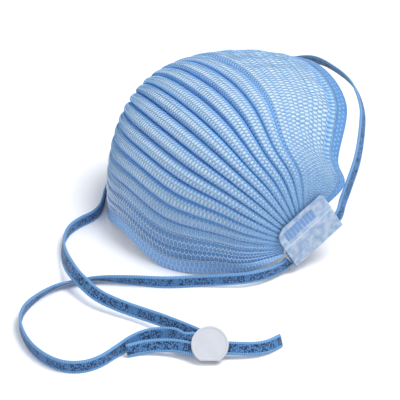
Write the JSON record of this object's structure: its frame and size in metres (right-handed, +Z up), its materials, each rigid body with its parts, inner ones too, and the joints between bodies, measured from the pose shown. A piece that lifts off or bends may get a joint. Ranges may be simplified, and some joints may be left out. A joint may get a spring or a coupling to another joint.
{
  "type": "disposable dust mask",
  "caption": "Cup-shaped dust mask with a fan of pleats under plastic netting, strap clips, one flat elastic strap and a snap-lid clasp.",
  "frame": {"origin": "under the middle of the mask without its strap and clasp, on the surface it lies on", "axes": "+X from the middle towards the clip on the wearer's left, +Y towards the nose, +Z up; the cup lies on its chin rim and clips, leaning back 31.5 degrees"},
  "size_m": [0.1853, 0.2048, 0.0811],
  "materials": {
    "netting": "extruded plastic net, satin",
    "filter_web": "spun-bonded filter web, matte",
    "liner": "soft white web, matte",
    "welded_edge": "embossed welded band, satin",
    "foam": "closed-cell foam, matte",
    "clip_plastic": "frosted polypropylene strip",
    "strap": "flat braided elastic",
    "clasp_plastic": "moulded, fine satin texture"
  },
  "bodies": {
    "mask": {"outer_net": "netting", "filter_web": "filter_web", "inner_liner": "liner", "chin_flange": "welded_edge", "nose_flange": "welded_edge", "nose_foam": "foam", "strap_clip_right": "clip_plastic", "strap_clip_left": "clip_plastic", "crown_strap": "strap", "neck_strap_right": "strap", "neck_strap_left": "strap", "strap_tail": "strap", "strap_fold_back": "strap", "clasp_base": "clasp_plastic", "clasp_grip_bar": "clasp_plastic", "clasp_hinge_pin": "clasp_plastic"},
    "lid": {"clasp_lid": "clasp_plastic"}
  },
  "joints": [
    {"name": "clasp_lid_hinge", "type": "hinge", "parent": "mask", "child": "lid", "pos_m": [0.11111, -0.07133, 0.00264], "axis": [0.515, 0.8572, 0], "range_deg": [0, 110]}
  ]
}
